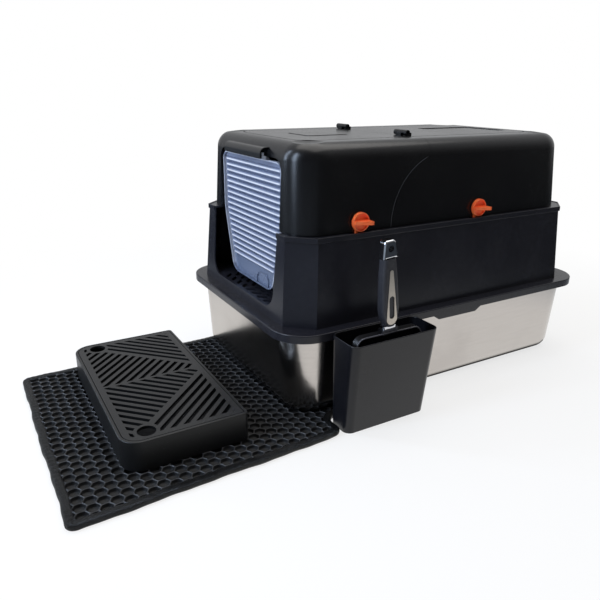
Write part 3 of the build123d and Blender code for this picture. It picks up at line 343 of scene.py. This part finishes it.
def grip_rubber(name):
    """Soft black rubber with a matt skin and light scuffs."""
    f = Finish(name)
    where = f.vector(*f.place())
    grain = f.noise(where, scale=4.0, detail=2.0)
    scuff = f.noise(where, scale=0.15, detail=4.0, rough=0.7)
    colour = f.mix(scuff.step(0.5, 0.8), rgb(42, 42, 47), rgb(58, 58, 62))
    return f.surface(Base_Color=colour, Roughness=0.44 + 0.1 * (scuff - 0.5), Normal=f.bump(grain, 0.00003))


def clear_flap(name):
    """Milky clear plastic: a painted highlight along the ribs' crowns, the ribs dense below them, the thin
    sheet between them smoky blue, and a painted highlight on the denser rim, by the distance in from the
    flap's outline, which is straight and then tapers."""
    f = Finish(name)
    x, y, z = f.place()
    low = flap_rib_top - (flap_ribs - 0.5) * flap_rib_pitch
    high = flap_rib_top + flap_rib_pitch / 2
    turn = ((high - z) % flap_rib_pitch) - flap_rib_pitch / 2
    taper = ((flap_bend - z) / (flap_bend - flap_foot)).most(0.0)
    half = flap_half - (flap_half - flap_foot_half) * taper
    inward = (half - abs(x)).least(flap_top - z)
    field = z.step(low - 1.0, low) * (1.0 - z.step(high, high + 1.0)) * inward.step(7.0, 9.0)
    painted_crown_highlight = (1.0 - abs(turn - 0.3).step(0.7, 1.7)) * field
    flank = (1.0 - abs(turn).step(1.7, 3.0)) * field
    rim = 1.0 - inward.step(1.8, 3.4)
    wall = 1.0 - inward.step(7.5, 9.5)
    foot = 1.0 - z.step(low - 1.0, low)
    cloud = f.noise(f.vector(x, y, z), scale=0.03)
    base = f.mix(flank, rgb(102, 112, 138), rgb(156, 163, 184))
    # Painted highlight: a nearly white band along each rib's crown.
    base = f.mix(painted_crown_highlight, base, rgb(230, 230, 236))
    base = f.mix(foot * 0.6, base, rgb(128, 140, 164))
    base = f.mix(wall * 0.6, base, rgb(148, 156, 178))
    # Painted highlight: the rim's pale colour; its higher density stands for the thicker plastic there.
    base = f.mix(rim * 0.7, base, rgb(216, 219, 229))
    dense = 0.56 + 0.16 * flank + 0.20 * painted_crown_highlight + 0.10 * wall + 0.14 * rim + 0.06 * foot + 0.10 * (cloud - 0.5)
    return f.surface(Base_Color=base, Roughness=0.22 + 0.12 * (cloud - 0.5), Alpha=dense, IOR=1.45)


def honeycomb_foam(name):
    """Closed-cell black foam: fine pores, grey tops on the cell walls, partly wear and partly a painted
    highlight, darker cell floors.
    """
    f = Finish(name)
    x, y, z = f.place()
    where = f.vector(x, y, z)
    pore = f.noise(where, scale=2.2)
    wear = f.noise(where, scale=0.05)
    top = z.step(mat_top - 1.0, mat_top - 0.2)
    # The grey tops are partly wear, from the noise, and partly a painted highlight on every wall top, from the
    # height.
    colour = f.mix(top * (0.35 + 0.65 * wear.step(0.25, 0.75)), rgb(11, 11, 12), rgb(74, 74, 76))
    gloss = 0.66 - 0.22 * top + 0.1 * (pore - 0.5)
    return f.surface(Base_Color=colour, Roughness=gloss, Normal=f.bump(pore, 0.00012))


def binding_tape(name):
    """Shiny woven edging tape: fine cross weave in the relief, creased tone and gloss."""
    f = Finish(name)
    where = f.vector(*f.place())
    bands = {"wave_type": "BANDS", "bands_direction": "DIAGONAL"}
    weave = f.node("ShaderNodeTexWave", bands, {"Vector": where, "Scale": 1.1, "Distortion": 0.6}, out="Fac")
    crease = f.noise(where, scale=0.10)
    fold = f.noise(where, scale=0.30, detail=4.0, rough=0.7)
    colour = f.mix(crease.step(0.45, 0.75), rgb(10, 10, 11), rgb(34, 34, 35))
    gloss = 0.34 + 0.2 * (crease - 0.5)
    relief = f.bump(weave * 0.3 + crease + fold * 1.6, 0.0014)
    return f.surface(Base_Color=colour, Roughness=gloss, Normal=relief, Specular_IOR_Level=0.4)


def make_piece(name, points, faces, material, body, slot, sharp):
    """Mesh piece from an array of points in millimetres and faces, put on its body. Edges are sharp
    past an angle in degrees."""
    mesh = bpy.data.meshes.new(name)
    corners = (np.asarray(points) * mm).tolist()
    mesh.from_pydata(corners, [], [tuple(int(i) for i in face) for face in faces])
    mesh.shade_smooth()
    mesh.set_sharp_from_angle(angle=math.radians(sharp))
    mesh.materials.append(material)
    piece = bpy.data.objects.new(name, mesh)
    scene.collection.objects.link(piece)
    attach(piece, body)
    return piece


def mat_to_world(u, v):
    """Mat coordinates to the frame: the front corner beside the step is drawn out, by a share that
    grows across and along the mat, then comes a turn about the mat's centre and its place."""
    turn = math.radians(mat_turn)
    v = v - mat_pull * (0.5 + u / mat_width) * (0.5 - v / mat_length)
    x = mat_centre[0] + u * math.cos(turn) - v * math.sin(turn)
    y = mat_centre[1] + u * math.sin(turn) + v * math.cos(turn)
    return x, y


def rounded_box_gap(x, y, half_x, half_y, corner):
    """Signed distance to a rounded rectangle, negative inside, and its outward direction, on whole
    arrays."""
    qx, qy = np.abs(x) - (half_x - corner), np.abs(y) - (half_y - corner)
    ox, oy = np.maximum(qx, 0), np.maximum(qy, 0)
    reach = np.hypot(ox, oy)
    gap = reach + np.minimum(np.maximum(qx, qy), 0) - corner
    outside = reach > 1e-9
    nx = np.where(outside, ox / np.maximum(reach, 1e-9), qx >= qy) * np.where(x < 0, -1, 1)
    ny = np.where(outside, oy / np.maximum(reach, 1e-9), qy > qx) * np.where(y < 0, -1, 1)
    return gap, nx, ny


def mat_gap(u, v, inset):
    """Signed distance to the mat's outline, moved in by inset, and its outward direction: the nearer of
    the main rectangle and a longer, narrower one, which ends beside the notch for the holder."""
    half_u, half_v, corner = mat_width / 2 - inset, mat_length / 2 - inset, mat_corner - inset
    main, mu, mv = rounded_box_gap(u, v, half_u, half_v, corner)
    middle = (mat_notch - mat_width / 2) / 2
    rear = mat_tongue / 2
    side, su, sv = rounded_box_gap(u - middle, v - rear, half_u + middle, half_v + rear, corner)
    near = main <= side
    return np.minimum(main, side), np.where(near, mu, su), np.where(near, mv, sv)


def cell_centres():
    """Centres of the comb's cells in mat coordinates: rows half a pitch apart in turn, kept inside the
    mat's outline, outside the pan and a little way under its foot."""
    row_step = cell_pitch * math.sqrt(3) / 2
    rows, columns = np.arange(*cell_rows), np.arange(*cell_columns)
    row, column = [a.ravel() for a in np.meshgrid(rows, columns, indexing="ij")]
    u, v = (column + (row % 2) / 2) * cell_pitch, row * row_step
    edge, _, _ = mat_gap(u, v, 0.0)
    x, y = mat_to_world(u, v)
    pan, _, _ = rounded_box_gap(x, y, pan_half_width, pan_half_length, pan_plan_corner)
    ahead = (x > 0) | (y < comb_under_pan - pan_half_length)
    keep = (edge < -comb_inset) & (pan > -comb_under_pan) & ahead
    return u[keep], v[keep]


def clear_of_pan(x, y, z):
    """Moves points in the pan to a line that follows the pan's rounded foot in under it, further for
    lower points: straight forward on the left half, and the shortest way on the right half, where the
    mat runs on beside the pan."""
    drop = pan_foot_round - np.clip(z, pan_foot_low, mat_top)
    tuck = pan_foot_round - np.sqrt(pan_foot_round**2 - drop**2) - pan_foot_inset
    half_x, half_y, corner = pan_half_width - tuck, pan_half_length - tuck, pan_plan_corner - tuck
    gap, px, py = rounded_box_gap(x, y, half_x, half_y, corner)
    push = np.maximum(-gap, 0)
    bend = np.maximum(-x - (half_x - corner), 0)
    front = corner - half_y - np.sqrt(np.maximum(corner**2 - bend**2, 0))
    moved_x = np.where(x > 0, x + px * push, x)
    moved_y = np.where(x > 0, y + py * push, np.minimum(y, front))
    return moved_x, moved_y


def honeycomb():
    """Honeycomb layer: for each cell centre and each of its directions, a profile goes from the middle
    of the cell's underside out to the middle of the wall, up over the wall's rounded top and down to
    the middle of the cell's floor. The plan is a hexagon whose distance in direction t is the half
    pitch over cos(t folded into a sixth turn), eased towards a circle at the hole. Points past the edge
    tape are moved to it, points in the pan to its foot, and the upper ones sag in slow waves."""
    cu, cv = cell_centres()
    t = np.arange(cell_sides) * 2 * math.pi / cell_sides + math.pi / cell_sides
    folded = (t + math.pi / 6) % (math.pi / 3) - math.pi / 6
    hexagon = 1 / np.cos(folded)
    half = cell_pitch / 2
    hole = half - cell_wall / 2
    # Distance from the cell's centre, height, and how far the plan is eased from the hexagon to the circle
    profile = [
        (0.0, 0.0, 1.0),
        (half, 0.0, 0.0),
        (half, mat_top - rim_drop, 0.0),
        (hole + rim_crown, mat_top, 0.25),
        (hole + rim_lip, mat_top - rim_drop, 0.4),
        (hole, mat_top - lip_depth, 0.45),
        (hole - wall_lean, mat_floor + floor_round, 0.5),
        (hole - wall_lean - floor_round, mat_floor, 0.5),
        (0.0, mat_floor - floor_dish, 1.0),
    ]
    rings = []
    for reach, height, ease in profile:
        r = reach * ((1 - ease) * hexagon + ease * cell_circle)
        u = cu[:, None] + r[None, :] * np.cos(t)
        v = cv[:, None] + r[None, :] * np.sin(t)
        rings.append(np.stack([u, v, np.full_like(u, height)], -1))
    grid = np.stack(rings, 1)
    u, v, z = grid[..., 0], grid[..., 1], grid[..., 2]
    edge, nu, nv = mat_gap(u, v, comb_inset)
    push = np.maximum(edge, 0)
    x, y = clear_of_pan(*mat_to_world(u - nu * push, v - nv * push), z)
    sag = sag_depth * np.sin(x / sag_run[0] + sag_start) * np.sin(y / sag_run[1])
    points = np.stack([x, y, z + np.where(z > sag_above, sag, 0.0)], -1)
    cells, steps = points.shape[0], len(profile)
    index = np.arange(cells * steps * cell_sides).reshape(cells, steps, cell_sides)
    a, b = index[:, :-1, :], index[:, 1:, :]
    quads = np.stack([a, np.roll(a, -1, 2), np.roll(b, -1, 2), b], -1).reshape(-1, 4)
    return points.reshape(-1, 3), quads


def mat_outline(count):
    """Points evenly along the mat's outline and the run to each, in mat coordinates: straight sides
    between quarter arcs."""
    half_u, half_v, r, rear = mat_width / 2, mat_length / 2, mat_corner, mat_length / 2 + mat_tongue
    notch = mat_notch_round
    # Centre and radius of each corner's arc, the quarter turn it starts at and the way it turns
    corners = [
        (half_u - r, half_v - r, r, 0, 1),
        (mat_notch + notch, half_v + notch, notch, 3, -1),
        (mat_notch - r, rear - r, r, 0, 1),
        (r - half_u, rear - r, r, 1, 1),
        (r - half_u, r - half_v, r, 2, 1),
        (half_u - r, r - half_v, r, 3, 1),
    ]
    arc = np.linspace(0, math.pi / 2, mat_corner_points)
    arcs = []
    for u, v, reach, quarter, way in corners:
        a = quarter * math.pi / 2 + way * arc
        arcs.append(np.stack([u + reach * np.cos(a), v + reach * np.sin(a)], -1))
    ring = np.concatenate(arcs + [arcs[0][:1]])
    length = np.concatenate([[0], np.cumsum(np.hypot(*np.diff(ring, axis=0).T))])
    at = np.linspace(0, length[-1], count, endpoint=False)
    return np.interp(at, length, ring[:, 0]), np.interp(at, length, ring[:, 1]), at


def binding():
    """Edge tape: a flattened rounded section, cosine and sine to a power, carried along the mat's
    outline, inset by half its width, with its height rippled by a short pucker and a slow wave along
    the run, and its place by the sway's waves. It stops where the pan stands over it."""
    u, v, at = mat_outline(binding_points)
    x, y = mat_to_world(u, v)
    gap, _, _ = rounded_box_gap(x, y, pan_half_width, pan_half_length, pan_plan_corner)
    clear = gap > binding_pan_gap
    start = int(np.argmax(clear & ~np.roll(clear, 1)))
    order = (np.arange(len(u)) + start) % len(u)
    order = order[clear[order]]
    u, v, at = u[order], v[order], np.arange(len(order)) * (at[1] - at[0])
    along = np.stack([np.gradient(u), np.gradient(v)], -1)
    along /= np.linalg.norm(along, axis=1)[:, None]
    out = np.stack([along[:, 1], -along[:, 0]], -1)
    swell = 0.6 + 0.4 * np.sin(at / pucker_swell_run)
    pucker = np.sin(at / pucker_run) * swell + np.sin(at / ripple_run + ripple_start)
    sway = sum(height * np.sin(at / run + begin) for height, run, begin in sway_waves)
    turn = np.linspace(0, 2 * math.pi, binding_sides, endpoint=False)
    c, s = np.cos(turn), np.sin(turn)
    across = np.sign(c) * np.abs(c) ** binding_powers[0] * (binding_width / 2)
    high = np.sign(s) * np.abs(s) ** binding_powers[1]
    top = binding_top / 2 + pucker_height * pucker[:, None] / 2
    z = binding_top / 2 + np.where(high > 0, high * top, high * binding_top / 2)
    off = across[None, :] - binding_width / 2 + (sway / 2)[:, None] - binding_inset
    wx, wy = mat_to_world(u[:, None] + out[:, :1] * off, v[:, None] + out[:, 1:] * off)
    points = np.stack([wx, wy, np.maximum(z, 0.0)], -1)
    runs, sides = points.shape[:2]
    index = np.arange(runs * sides).reshape(runs, sides)
    a, b = index[:-1], index[1:]
    quads = np.stack([a, b, np.roll(b, -1, 1), np.roll(a, -1, 1)], -1).reshape(-1, 4)
    caps = [index[0].tolist(), index[-1][::-1].tolist()]
    return points.reshape(-1, 3), quads.tolist() + caps


# Finishes
steel = brushed_steel("pan_steel")
hood_black = hood_plastic("hood_black")
collar_black = moulded_plastic(
    "collar_black", rgb(30, 30, 36), rgb(34, 34, 40), rough=0.26, grain=2.4, depth=0.00003)
holder_black = moulded_plastic(
    "holder_black", rgb(18, 18, 22), rgb(23, 23, 27), rough=0.30, grain=2.4, depth=0.00003)
step_black = moulded_plastic(
    "step_black", rgb(21, 21, 22), rgb(26, 26, 26), rough=0.36, grain=2.0, depth=0.00005)
flap_clear = clear_flap("flap_clear")
orange = orange_plastic("knob_orange")
plated = polished_metal("scoop_plating", rgb(215, 216, 220), rough=0.06)
pin_metal = polished_metal("pin_metal", rgb(180, 180, 182), rough=0.30)
inlay = polished_metal("inlay_metal", rgb(205, 196, 184), rough=0.34)
rubber = grip_rubber("scoop_rubber")
scoop_black = scoop_plastic("scoop_black")
foam = honeycomb_foam("mat_foam")
tape = binding_tape("mat_tape")

node_finish = {
    "steel_pan": steel,
    "collar": collar_black,
    "entry_grille": collar_black,
    "hood_rear": hood_black,
    "hood_front": hood_black,
    "hood_hinge_pins": pin_metal,
    "door_flap": flap_clear,
    "flap_axle": pin_metal,
    "scoop_holder": holder_black,
    "scoop_head": scoop_black,
    "scoop_ferrule": plated,
    "scoop_grip": rubber,
    "scoop_inlay": inlay,
    "scoop_end_cap": plated,
    "scoop_tang": pin_metal,
    "step_base": step_black,
    "step_grille": step_black,
}
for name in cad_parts:
    if name.startswith("lock_knob"):
        node_finish[name] = orange
    elif name.startswith("lock_cam"):
        node_finish[name] = collar_black
for name, material in node_finish.items():
    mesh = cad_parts[name].data
    mesh.materials.clear()
    mesh.materials.append(material)

# Mat
comb = make_piece("mat_comb", *honeycomb(), foam, "mat", "mat_foam", sharp=50)
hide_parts("mat_honeycomb", "mat_base")
edge = make_piece("mat_edge_tape", *binding(), tape, "mat", "binding_fabric", sharp=60)
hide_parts("mat_binding")


# Camera
def aim(azimuth, elevation, roll):
    """Rotation whose columns are the camera's right, up and back directions."""
    a, e, r = (math.radians(v) for v in (azimuth, elevation, roll))
    back = np.array([math.sin(a) * math.cos(e), -math.cos(a) * math.cos(e), math.sin(e)])
    right = np.array([math.cos(a), math.sin(a), 0.0])
    up = np.cross(back, right)
    turned_right = math.cos(r) * right + math.sin(r) * up
    turned_up = math.cos(r) * up - math.sin(r) * right
    return np.stack([turned_right, turned_up, back], 1)


def stand(turn, place):
    """Matrix of an object with this rotation at this place."""
    matrix = np.eye(4)
    matrix[:3, :3] = turn
    matrix[:3, 3] = place
    return Matrix(matrix.tolist())


lens = bpy.data.cameras.new("camera")
lens.sensor_width = sensor_width
lens.lens = focal_px / picture_px * sensor_width
lens.clip_start, lens.clip_end = 0.01, 50.0
camera = bpy.data.objects.new("camera", lens)
camera.matrix_world = stand(aim(camera_azimuth, camera_elevation, camera_roll), camera_place)
scene.collection.objects.link(camera)
scene.camera = camera


# Studio
def lamp(name, place, target, size, watts, tint):
    """Rectangular soft light that faces its target."""
    light = bpy.data.lights.new(name, "AREA")
    light.shape = "RECTANGLE"
    light.size, light.size_y = size
    light.energy, light.color = watts, tint
    holder = bpy.data.objects.new(name, light)
    back = np.array(place, float) - np.array(target, float)
    back /= np.linalg.norm(back)
    right = np.cross((0, 0, 1.0), back)
    right /= np.linalg.norm(right)
    holder.matrix_world = stand(np.stack([right, np.cross(back, right), back], 1), place)
    scene.collection.objects.link(holder)


strip_target = (0.17, -0.27, 0.70)
strip_tint = (0.64, 0.78, 1.0)
lamp("overhead", (-0.1, 0.1, 1.9), (0.0, -0.1, 0.2), size=(1.8, 1.8), watts=22.0, tint=(1.0, 0.97, 0.93))
lamp("strip_left", (-0.95, -1.45, 1.00), strip_target, size=(0.16, 1.30), watts=11.0, tint=strip_tint)
lamp("strip_middle", (0.10, -1.80, 1.00), strip_target, size=(0.34, 1.30), watts=22.0, tint=strip_tint)


def studio_world(name):
    """White to the camera and through clear pieces. To other rays it is a studio: white behind and
    above the object, by the dot product of the ray and the direction away from the camera, and dim on
    the camera's side."""
    f = Finish(name, world=True)
    seen_by = f.node("ShaderNodeLightPath")
    ray = f.node("ShaderNodeTexCoord", out="Generated")
    away = (-0.66, 0.39, 0.64)
    back = f.node("ShaderNodeVectorMath", {"operation": "DOT_PRODUCT"}, {0: ray, 1: away}, out="Value")
    share = 0.09 + 0.56 * back.step(-0.20, 0.70)
    dim = f.node("ShaderNodeBackground", None, {"Color": (0.97, 0.98, 1.0, 1.0), "Strength": share})
    plain = f.node("ShaderNodeBackground", None, {"Color": (1.0, 1.0, 1.0, 1.0), "Strength": 1.0})
    direct = seen_by["Is Camera Ray"].most(seen_by["Is Transmission Ray"])
    return f.show(f.node("ShaderNodeMixShader", None, {0: direct, 1: dim, 2: plain}))


scene.world = studio_world("studio")


def floor_finish(name):
    """White table: white to the camera apart from the object's shadow, and to glossy rays a painted glow,
    white near the object and dim further out, by the distance from the object's middle, with a painted pale
    blue pool of light in front and a painted shadow, with no glow, under the pan."""
    f = Finish(name)
    x, y, _ = f.place()
    seen_by = f.node("ShaderNodeLightPath")
    far = ((x * x + y * y) ** 0.5).step(450.0, 1050.0)
    # Painted pool of light: a pale blue glow for glossy rays in front of the object.
    ahead = (0.15 * x - 0.99 * y).step(850.0, 1300.0)
    # Painted shadow: the glossy glow fades to nothing under the pan's footprint.
    outside_painted_shadow = (abs(x) - pan_half_width).most(abs(y) - pan_half_length).step(-4.0, 10.0)
    paint = f.node("ShaderNodeBsdfDiffuse", None, {"Color": (0.86, 0.86, 0.86, 1.0)})
    glow = f.node("ShaderNodeEmission", None, {"Color": (1.0, 1.0, 1.0, 1.0), "Strength": 1.0})
    tint = f.mix(far, (1.0, 1.0, 1.0, 1.0), (0.72, 0.84, 1.0, 1.0))
    shine = (0.97 - 0.92 * far + 0.35 * ahead) * outside_painted_shadow
    sheen = f.node("ShaderNodeEmission", None, {"Color": tint, "Strength": shine})
    direct = seen_by["Is Camera Ray"].most(seen_by["Is Transmission Ray"])
    lit = f.node("ShaderNodeMixShader", None, {0: direct * (0.74 + 0.26 * far), 1: paint, 2: glow})
    return f.show(f.node("ShaderNodeMixShader", None, {0: seen_by["Is Glossy Ray"], 1: lit, 2: sheen}))


floor_reach = 9.0
floor_corners = [(i * floor_reach, j * floor_reach, 0.0) for i, j in ((-1, -1), (1, -1), (1, 1), (-1, 1))]
floor_mesh = bpy.data.meshes.new("floor")
floor_mesh.from_pydata(floor_corners, [], [(0, 1, 2, 3)])
floor_mesh.materials.append(floor_finish("floor_white"))
floor = bpy.data.objects.new("floor", floor_mesh)
scene.collection.objects.link(floor)

scene.view_settings.view_transform = "Standard"
